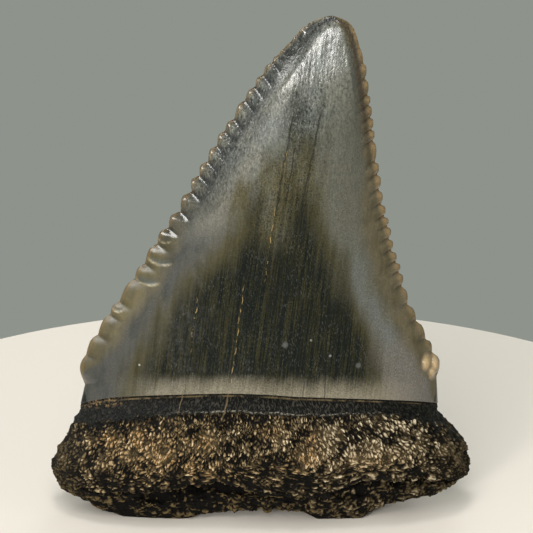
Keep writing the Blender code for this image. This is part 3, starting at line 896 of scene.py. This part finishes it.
out_in_air = blend(10.8, 12.0, height)
from_edge = np.minimum(from_left, from_right)
# Painted shade: the notches between the beads and the lower side of each left bead are coloured dark slate,
# where the beads' shadow falls.
stained = notch_shade * (1 - 0.4 * low_left) + 0.75 * lower_side_shade
keep_mask(crown_mesh, "core", core)
keep_mask(crown_mesh, "olive", olive)
keep_mask(crown_mesh, "honey", np.clip(honey, 0, 1))
keep_mask(crown_mesh, "rim", np.clip(1 - from_edge / RIM_WIDTH, 0, 1) * out_in_air)
keep_mask(crown_mesh, "groove", np.clip(stained, 0, 1) * out_in_air)
keep_mask(crown_mesh, "climb", height)
# Painted shade: the left bevel, which turns away from the light, and the valleys between and beside the
# left beads are coloured dark slate.
slate_shade_strip = blend(0.1, 0.4, from_left) * (1 - blend(ridge_in - 0.7, ridge_in - 0.05, from_left))
between_beads = 1 - 0.8 * np.clip(1.4 * bead_shape, 0, 1) * (1 - blend(38, 41, height))
slate_shade_strip = slate_shade_strip * between_beads
beside_beads = 0.5 * hump(from_left, 1.6, 1.0) * (1 - blend(35.5, 38.5, height))
low_slate_shade = np.maximum(hump(from_left, 0.9, 0.6) * between_beads, beside_beads) * blend(24, 30, height)
keep_mask(crown_mesh, "bevel_shade", np.maximum(slate_shade_strip * blend(33, 38, height), low_slate_shade) * front)
keep_mask(crown_mesh, "edge", np.maximum(1 - blend(0.7, 1.2, from_left), 1 - blend(0.5, 1.0, from_right)))
keep_mask(crown_mesh, "chipped", np.clip(chipped, 0, 1))
keep_mask(crown_mesh, "chip_rim_glint", chip_rim_glint)
keep_mask(crown_mesh, "brown", hump(from_right, 0.42, 0.28) * blend(27, 37, height) * front)
on_right_edge = 1 - blend(0.1, 0.4, from_right)
keep_mask(crown_mesh, "tan", 0.6 * on_right_edge * blend(10, 30, height) * (1 - blend(43, 43.8, height)))
keep_mask(crown_mesh, "lobes", lobes)
keep_mask(crown_mesh, "left_side", blend(-1, -4, x - (left + right) / 2) * (1 - blend(22, 34, height)))
# A paler band along the left flank, about three millimetres in from the edge.
pale_flank_width = 0.95 + 1.3 * hump(height, 26, 1.6)
along_flank = blend(23.5, 26, height - 0.3 * from_left) * (1 - blend(30, 37, height))
beside_core = hump(past_right - wave, -1.3, 1.2) * blend(13.5, 17, height) * (1 - blend(21, 27, height))
keep_mask(crown_mesh, "pale_flank", hump(from_left, 3.0, pale_flank_width) * along_flank * front)
keep_mask(crown_mesh, "haze", beside_core * front)
keep_mask(crown_mesh, "frosted", blend(-0.5, 1.5, past_left) * blend(-0.5, 1.5, past_right))
off_edge = blend(1.0, 4.0, from_left) * (1 - blend(33, 37, height))
keep_mask(crown_mesh, "satin", blend(24, 31, height) * (1 - 0.5 * off_edge))
narrowing = 1 - blend(0, BONE_EDGE_FADE, height - ENAMEL_H)
bone_edge = np.maximum(
    1 - blend(-0.05, 0.1, from_left - LEFT_BONE_EDGE * narrowing),
    1 - blend(-0.05, 0.1, from_right - RIGHT_BONE_EDGE * narrowing),
)
keep_mask(crown_mesh, "bone_edge", bone_edge * (height < ENAMEL_H + BONE_EDGE_FADE))
keep_mask(crown_mesh, "front", np.where(front, 1.0, 0.0))
keep_mask(crown_mesh, "right_side", blend(-1, 5, x - (left + right) / 2))
keep_mask(crown_mesh, "foot", 1 - blend(8.0, 13.5, np.abs(x - 0.8)))

SCRATCH_DEPTH = 0.000016
ENAMEL_SPECULAR = 0.48
ENAMEL_GREY = paint(104, 104, 96)
ENAMEL_BLUE = paint(98, 102, 98)
ENAMEL_PALE_FLANK = paint(114, 110, 99)
ENAMEL_HAZE = paint(92, 97, 96)
ENAMEL_LILAC = paint(101, 96, 90)
LEFT_GREY = paint(71, 70, 66)
RIGHT_GREY = paint(87, 86, 76)
FLANK_DARK = paint(59, 60, 57)
ENAMEL_OLIVE = paint(69, 64, 41)
UPPER_OLIVE = paint(44, 46, 39)
ENAMEL_CORE = paint(3, 9, 5)
CORE_BROWN = paint(39, 36, 16)
ENAMEL_HONEY = paint(89, 80, 51)
HONEY_DARK = paint(68, 62, 41)
HONEY_GREY = paint(91, 83, 63)
RIM_AMBER = paint(124, 100, 64)
BEAD_TAN = paint(150, 126, 92)
CUSPLET_TAN = paint(172, 148, 112)
BEVEL_BROWN = paint(64, 54, 42)
# Painted shade on the left bevel.
BEVEL_SHADE_SLATE = paint(44, 45, 43)
# Painted shade in the notches between the beads and under the left beads.
NOTCH_SHADE_SLATE = paint(40, 42, 44)
CHIP_SLATE = paint(72, 76, 72)
# Painted highlight on the chips' lower rims.
CHIP_GLINT_CREAM = paint(176, 164, 134)
FOOT_PALE = paint(126, 119, 102)
SPECK_WHITE = paint(205, 208, 205)
CRACK_DARK = paint(18, 18, 14)
CRACK_TAN = paint(176, 148, 100)
# Hairline cracks, clean and filled with pale dirt: (head x, head z, foot x, foot z, width, gaps)
DARK_CRACKS = (
    (2.8, 36.8, 1.2, 27.5, 0.11, 0.27), (2.95, 34.0, 2.1, 28.6, 0.08, 0.36),
    (5.1, 37.0, 2.85, 25.5, 0.12, 0.3), (4.75, 35.0, 3.2, 26.0, 0.08, 0.38),
    (3.75, 15.6, 3.5, 11.0, 0.07, 0.1), (5.5, 18.5, 5.35, 11.0, 0.07, 0.15),
    (-5.0, 22.0, -5.8, 15.5, 0.05, 0.35), (-4.3, 20.5, -4.6, 16.8, 0.04, 0.4),
    (1.2, 24.0, 0.4, 20.0, 0.04, 0.45), (-6.2, 13.2, -6.45, 11.0, 0.05, 0.1),
    (2.2, 28.0, 1.6, 22.0, 0.04, 0.4), (-1.1, 20.0, -1.5, 15.0, 0.04, 0.42),
)
TAN_CRACKS = (
    (1.35, 29.0, 0.25, 21.6, 0.05, 0.46), (-1.35, 21.6, -2.75, 11.0, 0.045, 0.45),
    (-5.2, 20.5, -5.9, 15.0, 0.045, 0.5), (2.3, 33.5, 1.8, 31.0, 0.05, 0.47),
)
# Pale marks on the front: (x, z, radius, how strong)
WHITE_MARKS = (
    (8.15, 14.35, 0.32, 0.2), (2.05, 16.4, 0.36, 0.2), (5.8, 15.35, 0.16, 0.5), (4.2, 16.75, 0.14, 0.5),
    (-10.1, 14.15, 0.12, 1.0),
)


def speck_group():
    """Scattered fine specks: how many there are, how large, and how far they are drawn out upwards."""
    group = bpy.data.node_groups.new("specks", "ShaderNodeTree")
    socket(group, "Place", "NodeSocketVector")
    for name in ("Fineness", "Amount", "Tall"):
        socket(group, name)
    group.interface.new_socket(name="Mask", in_out="OUTPUT", socket_type="NodeSocketFloat")
    given = group.nodes.new("NodeGroupInput").outputs
    drawn = add(group, "CombineXYZ", {0: 1.0, 1: 1.0, 2: given["Tall"]}).outputs[0]
    place = add(group, "VectorMath", {0: given["Place"], 1: drawn}, operation="MULTIPLY").outputs[0]
    dots = add(group, "TexNoise", {"Vector": place, "Scale": given["Fineness"], "Detail": 1.5}).outputs[0]
    limit = sum_of(group, "SUBTRACT", 0.8, times(group, given["Amount"], 0.25))
    mask = past(group, dots, limit, 14.0)
    end = group.nodes.new("NodeGroupOutput")
    group.links.new(mask, end.inputs["Mask"])
    return group


specks = speck_group()


def speck(tree, place, fineness, amount, tall=1.0):
    made = add(tree, "Group", node_tree=specks)
    tree.links.new(place, made.inputs["Place"])
    for name, value in (("Fineness", fineness), ("Amount", amount), ("Tall", tall)):
        if isinstance(value, bpy.types.NodeSocket):
            tree.links.new(value, made.inputs[name])
        else:
            made.inputs[name].default_value = value
    return made.outputs[0]


def turned(tree, place, turn, squeeze):
    """The place turned in the face of the tooth and squeezed, for scratches that run aslant."""
    inputs = {"Vector": place, "Rotation": (0, turn, 0), "Scale": (1, 1, squeeze)}
    return add(tree, "Mapping", inputs).outputs[0]


def enamel_material():
    """Stained fossil enamel: colours from honey to a dark core, fine growth lines, cracks and scratches,
    painted shade on the left bevel, in the notches and under the beads, and painted highlights on the
    chips' rims.
    """
    material = bpy.data.materials.new("fossil enamel")
    material.use_nodes = True
    tree = material.node_tree
    surface = tree.nodes["Principled BSDF"]
    place = own_place(tree)
    axes = add(tree, "SeparateXYZ", {0: place}).outputs
    leaning = scaled(tree, axes["Z"], -GROWTH_LEAN, axes["X"])
    along = add(tree, "CombineXYZ", {0: leaning, 1: axes["Y"], 2: axes["Z"]}).outputs[0]
    lines = grit(tree, along, 1.0, 3.0, (4.5, 1.0, 0.16))
    fine_lines = grit(tree, along, 1.0, 2.0, (11, 1.0, 0.4))
    cloud = grit(tree, place, 0.35, 3.0)
    blotch = grit(tree, along, 0.8, 4.0, (1.0, 1.0, 0.4))
    grain = grit(tree, place, 8.0, 3.0)
    climb = mask_of(tree, "climb")
    core = mask_of(tree, "core")
    front = mask_of(tree, "front")
    satin = mask_of(tree, "satin")
    right_side = mask_of(tree, "right_side")

    colour = mixed(tree, ENAMEL_GREY, ENAMEL_BLUE, step_up(tree, cloud, 0.35, 0.65))
    colour = mixed(tree, colour, RIGHT_GREY, right_side)
    low_flank = step_up(tree, climb, 13.0, 21.0, 1.0, 0.0)
    low_flank = times(tree, low_flank, step_up(tree, cloud, 0.2, 0.6, 0.6, 1.0))
    colour = mixed(tree, colour, ENAMEL_LILAC, low_flank)
    left_side = mask_of(tree, "left_side")
    colour = mixed(tree, colour, LEFT_GREY, left_side)
    smoky = step_up(tree, grit(tree, along, 0.9, 4.0, (1, 1, 0.6)), 0.42, 0.66)
    colour = mixed(tree, colour, FLANK_DARK, times(tree, smoky, left_side))
    pale_flank_share = times(tree, mask_of(tree, "pale_flank"), step_up(tree, blotch, 0.3, 0.6, 0.25, 0.65))
    colour = mixed(tree, colour, ENAMEL_PALE_FLANK, pale_flank_share)
    hazy = times(tree, mask_of(tree, "haze"), step_up(tree, blotch, 0.3, 0.6, 0.25, 0.6))
    colour = mixed(tree, colour, ENAMEL_HAZE, hazy)
    olive = times(tree, mask_of(tree, "olive"), step_up(tree, blotch, 0.3, 0.6, 0.6, 1.0))
    olive_colour = mixed(tree, ENAMEL_OLIVE, UPPER_OLIVE, step_up(tree, climb, 30.0, 37.0))
    colour = mixed(tree, colour, olive_colour, olive)
    streak = grit(tree, along, 1.0, 3.0, (8.0, 1.0, 0.22))
    brownish = times(tree, step_up(tree, streak, 0.4, 0.66), step_up(tree, blotch, 0.3, 0.6, 0.35, 1.0))
    colour = mixed(tree, colour, mixed(tree, ENAMEL_CORE, CORE_BROWN, brownish), core)
    honey = times(tree, mask_of(tree, "honey"), step_up(tree, cloud, 0.2, 0.5, 0.75, 1.0))
    honey_colour = mixed(tree, ENAMEL_HONEY, HONEY_GREY, right_side)
    honey_colour = mixed(tree, honey_colour, HONEY_DARK, times(tree, smoky, 0.7))
    colour = mixed(tree, colour, honey_colour, honey)
    patchy = step_up(tree, grit(tree, place, 1.4, 3.0), 0.35, 0.6, 0.75, 1.0)
    # The bevel and groove slates are painted shade, and the chip rims' cream is a painted highlight.
    for stain, name, share in (
        (CHIP_SLATE, "chipped", 0.85),
        (CHIP_GLINT_CREAM, "chip_rim_glint", 0.6),
        (BEVEL_BROWN, "brown", 0.85),
        (BEVEL_SHADE_SLATE, "bevel_shade", patchy),
        (NOTCH_SHADE_SLATE, "groove", 0.7),
        (BEAD_TAN, "tan", patchy),
        (RIM_AMBER, "rim", 0.6),
        (CUSPLET_TAN, "lobes", 1.0),
    ):
        colour = mixed(tree, colour, stain, times(tree, mask_of(tree, name), share))

    ragged = scaled(tree, fine_lines, 1.6, sum_of(tree, "SUBTRACT", climb, 0.8))
    foot = step_up(tree, scaled(tree, blotch, 2.4, ragged), 10.4, 14.3, 1.0, 0.0)
    combed = times(tree, step_up(tree, fine_lines, 0.3, 0.62, 1.0, 0.75), mask_of(tree, "foot"))
    colour = mixed(tree, colour, FOOT_PALE, times(tree, foot, combed))
    colour = mixed(tree, colour, NECK_BLACK, mask_of(tree, "bone_edge"))
    tilted = turned(tree, place, 0.8, 0.45)
    crossed = turned(tree, place, -0.9, 0.35)
    frosted = mask_of(tree, "frosted")
    streaky = times(tree, step_up(tree, lines, 0.3, 0.7, -0.1, 0.09), olive)
    shade = sum_of(tree, "ADD", streaky, step_up(tree, lines, 0.3, 0.7, 0.97, 1.03))
    strokes = sum_of(tree, "ADD", grit(tree, tilted, 6.0, 2.0), grit(tree, crossed, 6.0, 2.0))
    rub_reach = times(tree, satin, scaled(tree, right_side, -1.3, 2.0))
    shade = scaled(tree, sum_of(tree, "SUBTRACT", strokes, 1.0), rub_reach, shade)
    mottle = scaled(tree, frosted, 1.1, scaled(tree, satin, 0.1, 1.5))
    even = largest(tree, honey, foot, left_side)
    mottle = times(tree, mottle, scaled(tree, even, -0.45, 1.0))
    shade = scaled(tree, sum_of(tree, "SUBTRACT", grain, 0.5), mottle, shade)
    combing = scaled(tree, frosted, 0.8, 0.25)
    shade = scaled(tree, sum_of(tree, "SUBTRACT", fine_lines, 0.5), combing, shade)
    shades = add(tree, "CombineXYZ", {0: shade, 1: shade, 2: shade}).outputs[0]
    colour = add(tree, "VectorMath", {0: colour, 1: shades}, operation="MULTIPLY").outputs[0]

    near_core = scaled(tree, core, 0.22, -0.02)
    scratches = [
        speck(tree, place, 7.5, scaled(tree, core, 0.16, -0.02), 0.8),
        speck(tree, tilted, 8.0, near_core),
        speck(tree, crossed, 9.0, near_core),
    ]
    clustered = step_up(tree, grit(tree, place, 0.45, 2.0), 0.4, 0.62, 0.35, 1.0)
    marks = times(tree, largest(tree, *scratches), step_up(tree, core, 0.0, 0.4, 0.03, 0.14))
    frost_reach = times(tree, satin, scaled(tree, right_side, -1.8, 1.8))
    frost_reach = largest(tree, times(tree, frosted, 0.4), frost_reach)
    frost = step_up(tree, grit(tree, tilted, 9.0, 3.0), 0.5, 0.78, 0.0, 0.17)
    marks = largest(tree, marks, times(tree, frost, frost_reach))
    colour = mixed(tree, colour, SPECK_WHITE, times(tree, marks, clustered))
    flat = add(tree, "CombineXYZ", {0: axes["X"], 1: 0.0, 2: axes["Z"]}).outputs[0]
    for x, z, radius, strength in WHITE_MARKS:
        off = add(tree, "VectorMath", {0: flat, 1: (x, 0, z)}, operation="DISTANCE").outputs["Value"]
        spot = step_up(tree, off, radius * 0.3, radius, strength * 0.5, 0.0)
        colour = mixed(tree, colour, SPECK_WHITE, times(tree, spot, front))
    dark = times(tree, largest(tree, *(crack(tree, place, line, 0.3) for line in DARK_CRACKS)), front)
    tan = times(tree, largest(tree, *(crack(tree, place, line) for line in TAN_CRACKS)), front)
    colour = mixed(tree, colour, CRACK_DARK, times(tree, dark, 0.8))
    colour = mixed(tree, colour, CRACK_TAN, times(tree, tan, 0.85))
    tree.links.new(colour, surface.inputs["Base Color"])

    rubbed = step_up(tree, grit(tree, place, 3.5, 4.0), 0.3, 0.7, 0.21, 0.28)
    shiny = largest(tree, olive, mask_of(tree, "edge"))
    worn = times(tree, step_up(tree, climb, 31.0, 35.0), step_up(tree, climb, 36.0, 39.5, 0.1, 0.0))
    matt = times(tree, worn, sum_of(tree, "SUBTRACT", 1.0, shiny))
    rubbed = scaled(tree, mask_of(tree, "edge"), -0.09, sum_of(tree, "ADD", rubbed, matt))
    rubbed = scaled(tree, core, -0.07, rubbed)
    low_honey = times(tree, honey, step_up(tree, climb, 22.0, 25.5, 1.0, 0.0))
    low_honey = times(tree, low_honey, sum_of(tree, "SUBTRACT", 1.0, right_side))
    tree.links.new(scaled(tree, low_honey, 0.3, rubbed), surface.inputs["Roughness"])
    surface.inputs["Specular IOR Level"].default_value = ENAMEL_SPECULAR
    rubbing = scaled(tree, satin, 0.85, 0.15)
    pitted = times(tree, scaled(tree, grain, 0.5, strokes), rubbing)
    pitted = scaled(tree, fine_lines, 0.2, pitted)
    cut = sum_of(tree, "SUBTRACT", pitted, times(tree, largest(tree, dark, tan), 0.15))
    bump = add(tree, "Bump", {"Height": cut, "Strength": 1.0, "Distance": SCRATCH_DEPTH})
    tree.links.new(bump.outputs[0], surface.inputs["Normal"])
    return material


enamel_crown = piece(crown_mesh, enamel_material())

# Floor, lights and camera: a plain pale round of floor, soft studio light from above and the left, and
# a long lens that looks down on the tongue side.

FLOOR_RADIUS = 0.043
FLOOR_ROUGHNESS = 0.6
FLOOR_CREAM = paint(234, 227, 218)
ROOM_GREY = paint(142, 147, 140)

bm = bmesh.new()
bmesh.ops.create_circle(bm, cap_ends=True, segments=128, radius=FLOOR_RADIUS)
floor_mesh = bpy.data.meshes.new("floor")
bm.to_mesh(floor_mesh)
bm.free()
floor = bpy.data.objects.new("floor", floor_mesh)
bpy.context.scene.collection.objects.link(floor)
floor_material = bpy.data.materials.new("pale floor")
floor_material.use_nodes = True
floor_surface = floor_material.node_tree.nodes["Principled BSDF"]
floor_surface.inputs["Base Color"].default_value = FLOOR_CREAM
floor_surface.inputs["Roughness"].default_value = FLOOR_ROUGHNESS
floor_mesh.materials.append(floor_material)

room = bpy.data.worlds.new("room")
bpy.context.scene.world = room
room.use_nodes = True
room.node_tree.nodes["Background"].inputs["Color"].default_value = ROOM_GREY

LOOK_AT = Vector((0.0005, 0.0014, 0.02177))
# Each lamp: name, place, size, watts, tint, whether it lights surfaces and whether gloss mirrors it
LIGHTS = (
    ("overhead", (-0.05, -0.28, 0.42), 0.3, 0.75, (1, 0.98, 0.94), True, False),
    ("glint", (-0.02, -0.14, 0.49), 0.12, 0.5, (1, 0.99, 0.98), True, True),
    ("edge", (-0.37, -0.01, 0.335), 0.26, 2.4, (1, 0.99, 0.97), False, True),
    ("front", (-0.05, -0.37, 0.35), 0.3, 0.6, (1, 0.98, 0.95), True, False),
    ("front left", (-0.165, -0.455, 0.15), 0.1, 1.5, (1, 0.97, 0.93), True, True),
    ("left", (-0.38, -0.3, 0.12), 0.3, 0.45, (0.97, 0.99, 1), True, False),
    ("right", (0.4, -0.25, 0.16), 0.3, 0.25, (0.98, 0.99, 1), True, False),
    ("rear", (0.1, 0.4, 0.3), 0.25, 0.25, (1, 1, 1), True, True),
)
for name, spot, size, watts, tint, lights_up, mirrored in LIGHTS:
    lamp = bpy.data.lights.new(name, "AREA")
    lamp.shape = "DISK"
    lamp.size = size
    lamp.energy = watts
    lamp.color = tint
    holder = bpy.data.objects.new(name, lamp)
    holder.location = spot
    holder.visible_diffuse = lights_up
    holder.visible_glossy = mirrored
    holder.rotation_euler = (LOOK_AT - Vector(spot)).to_track_quat("-Z", "Y").to_euler()
    bpy.context.scene.collection.objects.link(holder)

CAMERA_TILT = math.radians(23)
CAMERA_DISTANCE = 1.0
VIEW_WIDTH = 0.04442
lens = bpy.data.cameras.new("camera")
lens.sensor_width = 36
lens.lens = lens.sensor_width * CAMERA_DISTANCE / VIEW_WIDTH
camera = bpy.data.objects.new("camera", lens)
camera.location = LOOK_AT + CAMERA_DISTANCE * Vector((0, -math.cos(CAMERA_TILT), math.sin(CAMERA_TILT)))
camera.rotation_euler = (math.pi / 2 - CAMERA_TILT, 0, 0)
lens.clip_start = 0.1
lens.clip_end = 10
bpy.context.scene.collection.objects.link(camera)
bpy.context.scene.camera = camera
bpy.context.scene.view_settings.view_transform = "Standard"
